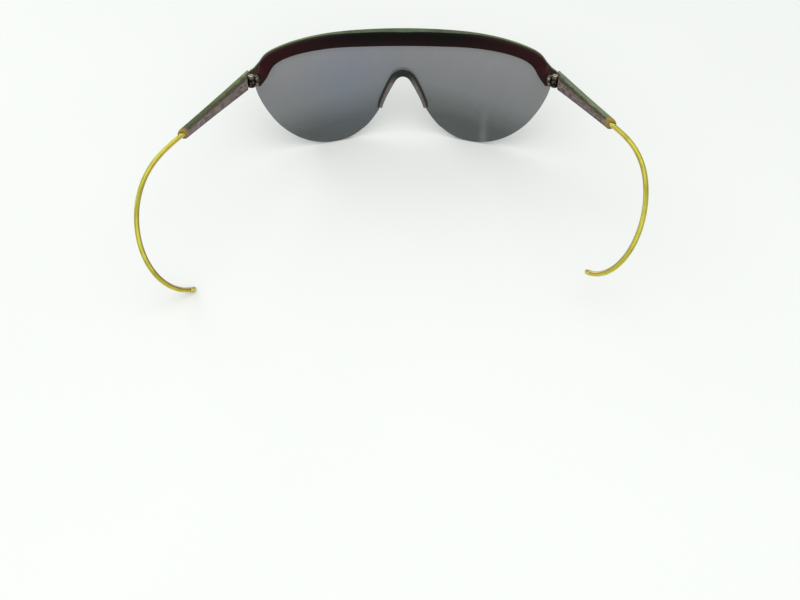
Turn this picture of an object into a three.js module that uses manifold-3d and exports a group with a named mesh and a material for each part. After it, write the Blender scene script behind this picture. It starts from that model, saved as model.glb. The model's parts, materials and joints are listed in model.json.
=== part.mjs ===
// Glacier glasses: a one-piece shield lens hung under a moulded brow bar, with two hinged temple bars
// that end in coiled cable ear hooks. Millimetres, +Z up. The wearer looks along +Y, and +X is the
// wearer's right. The glasses stand on a flat surface, on the two lobes of the lens and the tip of the
// left hook, with the front leaning forward.
//
// The front is drawn upright in its own frame, where z = 0 is the lowest point of the lens and the
// lens's front surface crosses the middle at y = 0. The whole object is leaned over at the end.
import * as THREE from "three";
import { mergeVertices } from "three/addons/utils/BufferGeometryUtils.js";
import Module from "manifold-3d";

const wasm = await Module();
wasm.setup();

const DEG = Math.PI / 180;
const SIDES = { left: -1, right: 1 };
const GAP = 0.3; // clearance between a piece and the neighbour that it is cut by or rests on

// The front: the lens, the brow bar and the nose bead share one upright cylinder.
const LEAN = 12 * DEG;
const LENS_RADIUS = 130;
const LENS_THICK = 2;
const FRONT_SWEEP = 33 * DEG;
const FRONT_FACETS = 40;
const WALL_LOW = -5;
const WALL_HIGH = 60;
const SLAB_FRONT = 10;
const SLAB_DEPTH = 50;

// Right halves of the outlines, seen from the front as x and z.
const LENS_LOWER = [
  [0, 32.4], [1.9, 31.9], [3.6, 30.5], [5.6, 27.1], [7.9, 22.6], [9.5, 19], [10.5, 16.2], [12.2, 13.2],
  [14.5, 9.9], [18, 6.1], [25, 1.5], [33.5, 0], [42, 1.6], [49.5, 6.1], [56.1, 13.1], [61.1, 21.8],
  [64.4, 30.4], [65.8, 37],
];
const LENS_UPPER = [[66, 38.5], [62.8, 43], [57.5, 46.8], [46, 49.8], [30, 50.5], [0, 50.4]];
const BROW_LOWER = [
  [0, 46.9], [16, 47.1], [30, 47.6], [41, 47.4], [49, 46.6], [54.6, 45.1], [58, 42.7], [60, 40], [61.2, 38.4],
];
const BROW_UPPER = [
  [66.2, 41.4], [63.7, 45.1], [60.8, 48.2], [56.3, 50.1], [48, 51.9], [38, 53], [26, 53.5], [0, 53.6],
];
const HORN_LOW = 36.9;
const HORN_FOOT = 62.4; // half the distance between the two horns at their lower ends
const SPAN_STEPS = 2; // straight steps between two neighbouring points of an outline

const BROW_BACK = 1.3; // wall of the brow bar behind the lens
const BROW_FRONT = 0.9; // wall of the brow bar in front of the lens

const BEAD_WALL = 0.8;
const BEAD_WEB = 0.8; // from the edge of the lens to the outside of the bead, clearance included
const BEAD_LOW = 16.1;
const BEAD_COVER_APEX = 2.4; // how far the bead reaches over the lens, at the top of the notch
const BEAD_COVER_END = 1.4; // and at its two lower ends
const NOTCH_HALF = 15;

// Lugs: the thick ends of the brow bar that carry the hinges. Each is flat behind its hinge and then
// slants forward, square to the run of the brow bar, where the temple bar butts against it.
const LUG = { inner: 61.4, butt: 66.1, outer: 68.1, face: 60 * DEG };
const LUG_FRONT = [[68.1, -18.1], [66, -16.8], [61.4, -15]];
const LUG_OUTLINE = [[61.4, 38.4], [HORN_FOOT, HORN_LOW], [68.1, HORN_LOW], [68.1, 42], [66, 43], [61.4, 45]];

// Hinges: three knuckles on an upright screw, behind the lug and in the bar's notched inner corner. The
// front leaf is riveted to the lug. The temple leaf runs in a slot inside the bar, held by two cross pins.
const HINGE_X = 66.3;
const HINGE_Y = -24.4;
const HINGE_Z = 39.9;
const KNUCKLE = { radius: 1.5, height: 1.4, pitch: 1.7, bore: 0.85 };
const LEAF_THICK = 0.9;
const SEAT = KNUCKLE.radius + GAP; // from the hinge axis to the faces that the leaves lie on
const FRONT_LEAF = { width: 3.5, height: 4.8, chamfer: 1 };
const TEMPLE_LEAF = { length: 8.6, height: 3.6, chamfer: 0.8 };
const SCREW = { radius: 0.6, head: 1.2, headHeight: 0.45, chamfer: 0.2, slotWidth: 0.35, slotDepth: 0.3 };
const RIVET = { radius: 0.5, head: 0.8, headHeight: 0.45 };
const FRONT_RIVET = { inboard: 2.5, spacing: 2.4 };
const PIN = { radius: 0.5, recess: 0.1, places: [4.2, 7] }; // through the bar and the leaf inside it
const ROUND = 8; // curve segments of small round pieces, half the number of sides

// Temple bars: flat tapered bars with rounded edges, mitred to meet the lugs when fully open.
const OPEN_SPLAY = 26.2 * DEG;
const BAR = { length: 49.6, thick: 3.1, front: 7.5, waist: 4.8, rear: 4, edge: 0.8, rearRound: 1 };
const BAR_SPARE = 4; // extra length in front, removed by the mitre
const BAR_CENTRE = 2.15; // from the hinge axis to the middle of the bar
const CORNER = { wide: 2.1, back: 1.9 }; // cut from the bar round the knuckles, outboard and behind the axis
const MOUTH = { angle: 32 * DEG, back: 1.1 }; // slanted rear end, cut back on the wearer's side
const SOCKET = { radius: 1.35, depth: 2.4 }; // for the ferrule, at the rear end
const CORE_BORE = { radius: 0.75, depth: 6 }; // for the core wire, further in

// Ear hooks: a coil over a core wire, ending in a ferrule, easing from straight into a round bend.
const FERRULE = { radius: 1.05, bore: 0.75, inside: 2, outside: 0.9 };
const CORE_RADIUS = 0.45;
const CORE_INSIDE = 5;
const COIL = { radius: 1.05, bore: 0.75 };
const HOOK_LENGTH = 93;
const HOOK_EASE = 27.4;
const HOOK_STEP = 2.4;
const TIP = { length: 3.4, radius: 1.1, bore: 0.75, depth: 1.8, round: 0.8 };

// How each worn temple sits: its splay from straight back, the rise of its bar, and its hook's bend.
const SET = {
  left: { splay: OPEN_SPLAY, rise: -2.85 * DEG, roll: 15.6 * DEG, bend: 29.6 },
  right: { splay: 18 * DEG, rise: 4.4 * DEG, roll: 18.5 * DEG, bend: 27.6 },
};

const FINISH = {
  brow: { color: 0x4a5540, roughness: 0.5, metalness: 0 },
  lens: { color: 0x6c7478, roughness: 0.08, metalness: 0, transparent: true, opacity: 0.72 },
  bead: { color: 0x15171a, roughness: 0.45, metalness: 0 },
  bar: { color: 0x655a58, roughness: 0.5, metalness: 0 },
  hinge: { color: 0x8e8a78, roughness: 0.35, metalness: 1 },
  gold: { color: 0xb3a65a, roughness: 0.3, metalness: 1 },
  steel: { color: 0x9a978f, roughness: 0.35, metalness: 1 },
};

// ---- solids ----

function solid(geometry) {
  geometry.deleteAttribute("normal");
  geometry.deleteAttribute("uv");
  const merged = mergeVertices(geometry, 1e-4);
  const vertProperties = new Float32Array(merged.attributes.position.array);
  const triVerts = new Uint32Array(merged.index.array);
  return new wasm.Manifold(new wasm.Mesh({ numProp: 3, vertProperties, triVerts }));
}

function geometryOf(body) {
  const mesh = body.getMesh();
  const geometry = new THREE.BufferGeometry();
  geometry.setAttribute("position", new THREE.BufferAttribute(new Float32Array(mesh.vertProperties), 3));
  geometry.setIndex(new THREE.BufferAttribute(new Uint32Array(mesh.triVerts), 1));
  geometry.computeVertexNormals();
  return geometry;
}

function piece(name, geometry, finish) {
  const mesh = new THREE.Mesh(geometry, new THREE.MeshStandardMaterial(finish));
  mesh.name = name;
  return mesh;
}

function cylinder(radius, height) {
  const geometry = new THREE.CylinderGeometry(radius, radius, height, 2 * ROUND);
  geometry.rotateX(Math.PI / 2);
  return geometry;
}

function box(low, high) {
  const size = new THREE.Vector3().subVectors(high, low);
  const geometry = new THREE.BoxGeometry(size.x, size.y, size.z);
  geometry.translate((low.x + high.x) / 2, (low.y + high.y) / 2, (low.z + high.z) / 2);
  return geometry;
}

// ---- the front's two ways of cutting: curved walls, and slabs with an outline seen from the front ----

function wall(inner, outer) {
  const from = Math.PI / 2 - FRONT_SWEEP;
  const to = Math.PI / 2 + FRONT_SWEEP;
  const plan = new THREE.Shape();
  plan.absarc(0, -LENS_RADIUS, outer, from, to, false);
  plan.absarc(0, -LENS_RADIUS, inner, to, from, true);
  const settings = { depth: WALL_HIGH - WALL_LOW, bevelEnabled: false, curveSegments: FRONT_FACETS / 2 };
  const geometry = new THREE.ExtrudeGeometry(plan, settings);
  geometry.translate(0, 0, WALL_LOW);
  return solid(geometry);
}

function slab(outline) {
  const settings = { depth: SLAB_DEPTH, bevelEnabled: false };
  const geometry = new THREE.ExtrudeGeometry(new THREE.Shape(outline), settings);
  geometry.rotateX(Math.PI / 2);
  geometry.translate(0, SLAB_FRONT, 0);
  return solid(geometry);
}

// A smooth curve through a right half and its mirror image, from left to right.
function mirrored(half) {
  const right = half.map(([x, z]) => new THREE.Vector2(x, z)).sort((a, b) => a.x - b.x);
  const left = right.filter((p) => p.x > 0).map((p) => new THREE.Vector2(-p.x, p.y));
  const points = [...left.reverse(), ...right];
  return new THREE.SplineCurve(points).getPoints(SPAN_STEPS * (points.length - 1));
}

// The same curve moved sideways: a positive distance moves it to the left of its own direction.
function moved(points, distance) {
  return points.map((point, i) => {
    const before = points[Math.max(i - 1, 0)];
    const after = points[Math.min(i + 1, points.length - 1)];
    const along = new THREE.Vector2().subVectors(after, before).normalize();
    const reach = distance(point);
    return new THREE.Vector2(point.x - along.y * reach, point.y + along.x * reach);
  });
}

const lensLower = mirrored(LENS_LOWER);
const lensUpper = mirrored(LENS_UPPER).reverse();

function lensBody(clearance) {
  const lower = moved(lensLower, () => -clearance);
  const upper = moved(lensUpper, () => -clearance);
  const front = LENS_RADIUS + clearance;
  return slab([...lower, ...upper]).intersect(wall(front - LENS_THICK - 2 * clearance, front));
}

// ---- the hinges, drawn about their own axis: x is outboard times the side, z = 0 the middle knuckle ----

function knuckle(place) {
  const barrel = cylinder(KNUCKLE.radius, KNUCKLE.height);
  barrel.translate(0, 0, place * KNUCKLE.pitch);
  return solid(barrel);
}

function hingeBore() {
  return solid(cylinder(KNUCKLE.bore, 4 * KNUCKLE.pitch));
}

function frontRivetPlaces(side) {
  return [-0.5, 0.5].map((step) => [-side * FRONT_RIVET.inboard, step * FRONT_RIVET.spacing]);
}

function pinAlongY(radius, x, z) {
  const geometry = new THREE.CylinderGeometry(radius, radius, 2 * SLAB_DEPTH, 2 * ROUND);
  geometry.translate(x, 0, z);
  return solid(geometry);
}

function frontLeaf(side) {
  const edge = FRONT_LEAF.width;
  const half = FRONT_LEAF.height / 2;
  const cut = FRONT_LEAF.chamfer;
  const outline = [[0, -half], [edge - cut, -half], [edge, cut - half], [edge, half], [0, half]];
  const shape = new THREE.Shape(outline.map(([x, z]) => new THREE.Vector2(-side * x, z)));
  const plate = new THREE.ExtrudeGeometry(shape, { depth: LEAF_THICK, bevelEnabled: false });
  plate.rotateX(Math.PI / 2);
  plate.translate(0, KNUCKLE.radius, 0);
  const relief = KNUCKLE.height / 2 + GAP;
  const space = KNUCKLE.radius + GAP;
  const room = box(new THREE.Vector3(-space, -space, -relief), new THREE.Vector3(space, space, relief));
  let leaf = solid(plate).subtract(solid(room)).add(knuckle(-1)).add(knuckle(1)).subtract(hingeBore());
  for (const [x, z] of frontRivetPlaces(side)) leaf = leaf.subtract(pinAlongY(RIVET.radius + GAP, x, z));
  return geometryOf(leaf);
}

// A strap from the knuckle into the bar, then a plate that runs back along the middle of the bar.
function templeLeaf(side) {
  const { length, height, chamfer } = TEMPLE_LEAF;
  const half = height / 2;
  const end = LEAF_THICK / 2;
  const outline = [
    [-end, -half], [length - chamfer, -half], [length, chamfer - half],
    [length, half - chamfer], [length - chamfer, half], [-end, half],
  ];
  const shape = new THREE.Shape(outline.map(([back, z]) => new THREE.Vector2(-back, z)));
  const plate = new THREE.ExtrudeGeometry(shape, { depth: LEAF_THICK, bevelEnabled: false });
  plate.rotateX(Math.PI / 2);
  plate.rotateZ(Math.PI / 2);
  plate.translate(side * BAR_CENTRE - LEAF_THICK / 2, 0, 0);
  let leaf = solid(plate).add(strap(side, 0)).add(knuckle(0)).subtract(hingeBore());
  for (const back of PIN.places) leaf = leaf.subtract(pinAlongX(PIN.radius + GAP, back));
  return geometryOf(leaf);
}

// The strap itself, or with a clearance the notch for it, which is open towards the butt face.
function strap(side, clearance) {
  const wide = LEAF_THICK / 2 + clearance;
  const tall = KNUCKLE.height / 2 + clearance;
  const front = clearance > 0 ? BAR_SPARE : wide;
  const ends = [0, side * BAR_CENTRE].sort((a, b) => a - b);
  return solid(box(new THREE.Vector3(ends[0], -wide, -tall), new THREE.Vector3(ends[1], front, tall)));
}

// The slot in the bar for the leaf's plate, open towards the butt face.
function leafSlot(side) {
  const wide = LEAF_THICK / 2 + GAP;
  const tall = TEMPLE_LEAF.height / 2 + GAP;
  const low = new THREE.Vector3(side * BAR_CENTRE - wide, -TEMPLE_LEAF.length - GAP, -tall);
  return solid(box(low, new THREE.Vector3(side * BAR_CENTRE + wide, BAR_SPARE, tall)));
}

function pinAlongX(radius, back) {
  const geometry = new THREE.CylinderGeometry(radius, radius, SLAB_DEPTH, 2 * ROUND);
  geometry.rotateZ(Math.PI / 2);
  geometry.translate(0, -back, 0);
  return solid(geometry);
}

function hingeScrew() {
  const top = KNUCKLE.pitch + KNUCKLE.height / 2 + GAP;
  const low = -KNUCKLE.pitch - KNUCKLE.height / 2;
  const face = top + SCREW.headHeight;
  const profile = [
    [0, low], [SCREW.radius, low], [SCREW.radius, top], [SCREW.head, top],
    [SCREW.head, face - SCREW.chamfer], [SCREW.head - SCREW.chamfer, face], [0, face],
  ];
  const turned = new THREE.LatheGeometry(profile.map(([r, z]) => new THREE.Vector2(r, z)), 2 * ROUND);
  turned.rotateX(Math.PI / 2);
  const deep = face - SCREW.slotDepth;
  const half = SCREW.slotWidth / 2;
  const reach = 2 * SCREW.head;
  const slot = box(new THREE.Vector3(-reach, -half, deep), new THREE.Vector3(reach, half, deep + reach));
  return geometryOf(solid(turned).subtract(solid(slot)));
}

// A rivet from a flat head at the low end to a flat head at the high end, along +Z.
function rivet(length) {
  const chamfer = RIVET.headHeight / 2;
  const profile = [
    [0, -RIVET.headHeight], [RIVET.head - chamfer, -RIVET.headHeight], [RIVET.head, -chamfer],
    [RIVET.head, 0], [RIVET.radius, 0], [RIVET.radius, length], [RIVET.head, length],
    [RIVET.head, length + chamfer], [RIVET.head - chamfer, length + RIVET.headHeight],
    [0, length + RIVET.headHeight],
  ];
  const turned = new THREE.LatheGeometry(profile.map(([r, z]) => new THREE.Vector2(r, z)), 2 * ROUND);
  turned.rotateX(Math.PI / 2);
  return turned;
}

// ---- the front's pieces ----

function lug(side) {
  const back = HINGE_Y + SEAT;
  const { inner, butt, outer, face } = LUG;
  const plan = [[inner, back], [butt, back], [outer, back + (outer - butt) * Math.tan(face)], ...LUG_FRONT];
  const shape = new THREE.Shape(plan.map(([x, y]) => new THREE.Vector2(side * x, y)));
  const prism = new THREE.ExtrudeGeometry(shape, { depth: WALL_HIGH, bevelEnabled: false });
  return solid(prism).intersect(slab(LUG_OUTLINE.map(([x, z]) => new THREE.Vector2(side * x, z))));
}

// The space behind a lug's flat back face, which the hinge and the temple bar turn in.
function hingeSpace(side) {
  const reach = 20;
  const geometry = new THREE.BoxGeometry(reach, reach, 2 * WALL_HIGH);
  geometry.translate(side * (LUG.inner + reach / 2), HINGE_Y + SEAT - reach / 2, 0);
  return solid(geometry);
}

function frontRivetHoles() {
  const holes = [];
  for (const side of Object.values(SIDES)) {
    for (const [x, z] of frontRivetPlaces(side)) {
      holes.push(pinAlongY(RIVET.radius + GAP, side * HINGE_X + x, HINGE_Z + z));
    }
  }
  return holes;
}

function browBar() {
  const lower = mirrored(BROW_LOWER);
  const upper = mirrored(BROW_UPPER).reverse();
  const outline = [
    new THREE.Vector2(-LUG.butt, HORN_LOW), new THREE.Vector2(-HORN_FOOT, HORN_LOW), ...lower,
    new THREE.Vector2(HORN_FOOT, HORN_LOW), new THREE.Vector2(LUG.butt, HORN_LOW), ...upper,
  ];
  const back = LENS_RADIUS - LENS_THICK - GAP - BROW_BACK;
  const front = LENS_RADIUS + GAP + BROW_FRONT;
  let bar = slab(outline).intersect(wall(back, front));
  for (const side of Object.values(SIDES)) bar = bar.subtract(hingeSpace(side)).add(lug(side));
  bar = bar.subtract(lensBody(GAP));
  for (const hole of frontRivetHoles()) bar = bar.subtract(hole);
  return geometryOf(bar);
}

function lens() {
  let body = lensBody(0);
  for (const hole of frontRivetHoles()) body = body.subtract(hole);
  return geometryOf(body);
}

function noseBead() {
  const notch = lensLower.filter((p) => p.y > BEAD_LOW && Math.abs(p.x) < NOTCH_HALF);
  const apex = Math.max(...notch.map((p) => p.y));
  const cover = (p) => {
    const rise = (p.y - BEAD_LOW) / (apex - BEAD_LOW);
    return BEAD_COVER_END + (BEAD_COVER_APEX - BEAD_COVER_END) * rise;
  };
  const band = [...moved(notch, () => -BEAD_WEB), ...moved(notch, cover).reverse()];
  const reach = GAP + BEAD_WALL;
  const channel = slab(band).intersect(wall(LENS_RADIUS - LENS_THICK - reach, LENS_RADIUS + reach));
  return geometryOf(channel.subtract(lensBody(GAP)));
}

function frontRivet(side, index) {
  const [x, z] = frontRivetPlaces(side)[index];
  const along = side * HINGE_X + x;
  const seat = HINGE_Y + KNUCKLE.radius - LEAF_THICK - GAP;
  const face = Math.sqrt((LENS_RADIUS + GAP + BROW_FRONT) ** 2 - along ** 2) - LENS_RADIUS;
  const geometry = rivet(face + 2 * GAP - seat);
  geometry.rotateX(-Math.PI / 2);
  geometry.translate(along, seat, HINGE_Z + z);
  return geometry;
}

// ---- the temples, drawn about the hinge axis with the bar running back along -y ----

function barBody(side, rise) {
  const { length, thick, front, waist, rear, edge, rearRound } = BAR;
  const [nose, middle, tail] = [front, waist, rear].map((height) => height / 2 - edge);
  const end = edge - length;
  const shape = new THREE.Shape();
  shape.moveTo(BAR_SPARE, -nose);
  shape.lineTo(BAR_SPARE, nose);
  shape.quadraticCurveTo(end / 2, middle, end + rearRound, tail);
  shape.quadraticCurveTo(end, tail, end, tail - rearRound);
  shape.lineTo(end, rearRound - tail);
  shape.quadraticCurveTo(end, -tail, end + rearRound, -tail);
  shape.quadraticCurveTo(end / 2, -middle, BAR_SPARE, -nose);
  const bevel = { bevelEnabled: true, bevelThickness: edge, bevelSize: edge, bevelSegments: 2 };
  const geometry = new THREE.ExtrudeGeometry(shape, { depth: thick - 2 * edge, curveSegments: 4, ...bevel });
  geometry.translate(0, 0, edge - thick / 2);
  geometry.rotateX(Math.PI / 2);
  geometry.rotateZ(Math.PI / 2);
  geometry.rotateX(-rise);
  geometry.translate(side * BAR_CENTRE, 0, 0);
  return solid(geometry);
}

// A round tool along the bar's own line, from one distance behind the hinge to another.
function alongBar(radius, from, to, side, rise) {
  const geometry = new THREE.CylinderGeometry(radius, radius, to - from, 2 * ROUND);
  geometry.translate(0, -(from + to) / 2, 0);
  geometry.rotateX(-rise);
  geometry.translate(side * BAR_CENTRE, 0, 0);
  return solid(geometry);
}

// What the fully open bar leaves free: all that lies in front of its gap to the lug.
function mitre(side) {
  const reach = 30;
  const back = SEAT - GAP;
  const corner = LUG.butt - HINGE_X + GAP * Math.tan(LUG.face / 2);
  const far = corner + (reach - back) / Math.tan(LUG.face);
  const plan = [[corner, back], [far, reach], [-reach, reach], [-reach, back]];
  const shape = new THREE.Shape(plan.map(([x, y]) => new THREE.Vector2(side * x, y)));
  const geometry = new THREE.ExtrudeGeometry(shape, { depth: 2 * reach, bevelEnabled: false });
  geometry.translate(0, 0, -reach);
  geometry.rotateZ(-side * OPEN_SPLAY);
  return solid(geometry);
}

function mouth(side, rise) {
  const reach = 10;
  const low = new THREE.Vector3(-reach, -reach, -reach);
  const geometry = box(low, new THREE.Vector3(reach, 0, reach));
  geometry.rotateZ(-side * MOUTH.angle);
  geometry.translate(0, MOUTH.back - BAR.length, 0);
  geometry.rotateX(-rise);
  geometry.translate(side * BAR_CENTRE, 0, 0);
  return solid(geometry);
}

// The room for the knuckles, cut from the inner front corner of the bar over its whole height.
function cornerSpace(side) {
  const reach = 10;
  const ends = [-side * reach, side * CORNER.wide].sort((a, b) => a - b);
  const low = new THREE.Vector3(ends[0], -CORNER.back, -reach);
  return solid(box(low, new THREE.Vector3(ends[1], reach, reach)));
}

function templeBar(side, { rise }) {
  let bar = barBody(side, rise).subtract(mitre(side)).subtract(mouth(side, rise));
  for (const { radius, depth } of [SOCKET, CORE_BORE]) {
    bar = bar.subtract(alongBar(radius, BAR.length - depth, BAR.length + BAR_SPARE, side, rise));
  }
  bar = bar.subtract(leafSlot(side)).subtract(strap(side, GAP)).subtract(cornerSpace(side));
  for (const back of PIN.places) bar = bar.subtract(pinAlongX(PIN.radius + GAP, back));
  return geometryOf(bar);
}

function templePin(side, back) {
  const geometry = new THREE.CylinderGeometry(PIN.radius, PIN.radius, BAR.thick - 2 * PIN.recess, 2 * ROUND);
  geometry.rotateZ(Math.PI / 2);
  geometry.translate(side * BAR_CENTRE, -back, 0);
  return geometry;
}

// Points of the hook's centre line, from one length along it to another. Its curvature grows evenly
// over HOOK_EASE and then stays that of a circle. Negative lengths run straight into the bar.
function hookPoints(side, { rise, roll, bend }, from, to) {
  const fine = 0.2;
  const turn = (s) => (s < HOOK_EASE ? (s * s) / (2 * HOOK_EASE * bend) : (s - HOOK_EASE / 2) / bend);
  const place = (along, drop) => {
    const inboard = Math.sin(roll) * drop;
    const point = new THREE.Vector3(-side * inboard, -BAR.length - along, -Math.cos(roll) * drop);
    point.applyAxisAngle(new THREE.Vector3(1, 0, 0), -rise);
    return point.add(new THREE.Vector3(side * BAR_CENTRE, 0, 0));
  };
  const steps = Math.round((to - from) / HOOK_STEP);
  const points = [];
  let s = Math.min(from, 0);
  let along = s;
  let drop = 0;
  for (let i = 0; i <= steps; i += 1) {
    const target = from + ((to - from) * i) / steps;
    while (s < target - fine / 2) {
      const heading = turn(Math.max(s + fine / 2, 0));
      along += Math.cos(heading) * fine;
      drop += Math.sin(heading) * fine;
      s += fine;
    }
    points.push(place(along, drop));
  }
  return points;
}

function wireAlong(points, radius, bore) {
  const section = new THREE.Shape().absarc(0, 0, radius, 0, 2 * Math.PI, false);
  if (bore > 0) section.holes.push(new THREE.Path().absarc(0, 0, bore, 0, 2 * Math.PI, true));
  const extrudePath = new THREE.CatmullRomCurve3(points);
  return new THREE.ExtrudeGeometry(section, { steps: points.length - 1, curveSegments: 4, extrudePath });
}

function turnedAlong(profile, start, direction) {
  const turned = new THREE.LatheGeometry(profile.map(([r, z]) => new THREE.Vector2(r, z)), 2 * ROUND);
  turned.applyQuaternion(new THREE.Quaternion().setFromUnitVectors(new THREE.Vector3(0, 1, 0), direction));
  turned.translate(start.x, start.y, start.z);
  return turned;
}

function ferrule(side, set) {
  const { radius, bore, inside, outside } = FERRULE;
  const length = inside + outside;
  const [start, end] = [-inside, outside].map((s) => hookPoints(side, set, s, s + HOOK_STEP)[0]);
  const direction = new THREE.Vector3().subVectors(end, start).normalize();
  const lip = 0.25;
  const profile = [
    [bore, 0], [radius, 0], [radius, length - lip], [radius - lip, length], [bore, length], [bore, 0],
  ];
  return turnedAlong(profile, start, direction);
}

function cableTip(side, set) {
  const [start, end] = hookPoints(side, set, HOOK_LENGTH - TIP.length, HOOK_LENGTH);
  const direction = new THREE.Vector3().subVectors(end, start).normalize();
  const { length, radius, bore, depth, round } = TIP;
  const profile = [[0, depth], [bore, depth], [bore, 0], [radius, 0], [radius, length - round]];
  for (const angle of [30, 60]) {
    const t = angle * DEG;
    profile.push([radius - round * (1 - Math.cos(t)), length - round + round * Math.sin(t)]);
  }
  profile.push([radius - round, length], [0, length]);
  return turnedAlong(profile, start, direction);
}

// ---- assembly ----

function frontGroup() {
  const group = new THREE.Group();
  group.add(piece("brow_bar", browBar(), FINISH.brow));
  group.add(piece("lens", lens(), FINISH.lens));
  group.add(piece("nose_bead", noseBead(), FINISH.bead));
  for (const [word, side] of Object.entries(SIDES)) {
    const leaf = piece(`hinge_front_leaf_${word}`, frontLeaf(side), FINISH.hinge);
    const screw = piece(`hinge_screw_${word}`, hingeScrew(), FINISH.steel);
    for (const part of [leaf, screw]) {
      part.position.set(side * HINGE_X, HINGE_Y, HINGE_Z);
      group.add(part);
    }
    for (const index of [0, 1]) {
      group.add(piece(`front_rivet_${word}_${index + 1}`, frontRivet(side, index), FINISH.steel));
    }
  }
  return group;
}

function templeGroup(word, side) {
  const set = SET[word];
  const group = new THREE.Group();
  group.add(piece(`hinge_temple_leaf_${word}`, templeLeaf(side), FINISH.hinge));
  group.add(piece(`temple_bar_${word}`, templeBar(side, set), FINISH.bar));
  PIN.places.forEach((back, index) => {
    group.add(piece(`temple_pin_${word}_${index + 1}`, templePin(side, back), FINISH.steel));
  });
  const coilEnds = [FERRULE.outside + GAP, HOOK_LENGTH - TIP.length - GAP];
  const coreEnds = [-CORE_INSIDE, HOOK_LENGTH - TIP.length + TIP.depth - GAP];
  const coil = wireAlong(hookPoints(side, set, ...coilEnds), COIL.radius, COIL.bore);
  const core = wireAlong(hookPoints(side, set, ...coreEnds), CORE_RADIUS, 0);
  group.add(piece(`ferrule_${word}`, ferrule(side, set), FINISH.gold));
  group.add(piece(`cable_coil_${word}`, coil, FINISH.gold));
  group.add(piece(`cable_core_${word}`, core, FINISH.steel));
  group.add(piece(`cable_tip_${word}`, cableTip(side, set), FINISH.gold));
  group.position.set(side * HINGE_X, HINGE_Y, HINGE_Z);
  group.rotation.z = side * set.splay;
  return group;
}

function glacierGlasses() {
  const leaning = new THREE.Group();
  leaning.add(frontGroup());
  for (const [word, side] of Object.entries(SIDES)) leaning.add(templeGroup(word, side));
  leaning.rotation.x = -LEAN;
  const standing = new THREE.Group();
  standing.add(leaning);
  standing.updateMatrixWorld(true);
  const bounds = new THREE.Box3().setFromObject(standing, true);
  const middle = bounds.getCenter(new THREE.Vector3());
  standing.position.set(-middle.x, -middle.y, -bounds.min.z);
  standing.updateMatrixWorld(true);
  return standing;
}

export default glacierGlasses();
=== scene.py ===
"""Glacier glasses: the looks of a smoke shield lens under a moulded brow bar, with coiled cable ear hooks.

Shapes are drawn in millimetres, in the part's own two frames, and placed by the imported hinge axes:
the front frame, upright, with z = 0 at the lens's lowest point; and a frame for each temple about its hinge
axis, with x outboard, the bar running back along -y, and the left one a mirror image of the right one.
"""

import json
import math

import bmesh
import bpy
import numpy as np
from mathutils import Matrix, Vector


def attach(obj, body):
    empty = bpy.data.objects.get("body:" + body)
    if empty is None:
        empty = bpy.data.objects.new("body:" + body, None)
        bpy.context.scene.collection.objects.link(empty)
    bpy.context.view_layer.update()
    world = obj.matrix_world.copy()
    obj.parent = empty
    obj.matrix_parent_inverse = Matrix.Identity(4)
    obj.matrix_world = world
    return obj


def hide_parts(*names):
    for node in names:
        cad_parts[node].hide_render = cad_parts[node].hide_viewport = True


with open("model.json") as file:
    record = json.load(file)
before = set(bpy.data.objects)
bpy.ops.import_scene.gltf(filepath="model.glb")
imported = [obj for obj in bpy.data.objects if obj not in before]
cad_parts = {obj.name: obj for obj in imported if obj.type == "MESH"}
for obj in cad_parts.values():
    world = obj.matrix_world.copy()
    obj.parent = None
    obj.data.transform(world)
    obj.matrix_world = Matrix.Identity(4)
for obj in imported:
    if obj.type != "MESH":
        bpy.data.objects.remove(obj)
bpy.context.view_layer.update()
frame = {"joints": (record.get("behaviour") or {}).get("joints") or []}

MM = 0.001
SIDES = {"left": -1, "right": 1}
GAP = 0.3
SHARP_ANGLE = math.radians(50)
SMOOTH_ANGLE = math.radians(38)

# The lens, with its outline's right half. Its mesh is cut into upright strips and level bands.
LENS_RADIUS = 130
LENS_THICK = 2
LENS_LOWER = [
    (0, 32.4), (1.9, 31.9), (3.6, 30.5), (5.6, 27.1), (7.9, 22.6), (9.5, 19), (10.5, 16.2), (12.2, 13.2),
    (14.5, 9.9), (18, 6.1), (25, 1.5), (33.5, 0), (42, 1.6), (49.5, 6.1), (56.1, 13.1), (61.1, 21.8),
    (64.4, 30.4), (65.8, 37),
]
LENS_UPPER = [(0, 50.4), (30, 50.5), (46, 49.8), (57.5, 46.8), (62.8, 43), (66, 38.5)]
LENS_END = 66.3
LENS_STRIPS = np.arange(-65, 66, 1.25)
LENS_BANDS = np.arange(4, 50, 4)
LENS_BEVEL = 0.22
RIM_ANGLE = 1.2
RIM_HALF = 0.9
# Its tint, painted darker low down as shade, runs over the height given below, and a place counts
# as higher by tilt for each mm that it is outside x.
# Its glint is an upright line that fades out at its top, and its cool patch is an oval.
TINT_AND_SHADE = {"height": 50, "tilt": 0.2, "x": 30}
GLINT = {"x": 38, "wide": 1.6, "top": 22, "share": 0.2}
COOL = {"x": -25, "z": 33, "wide": 18, "tall": 20, "share": 0.45}

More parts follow.
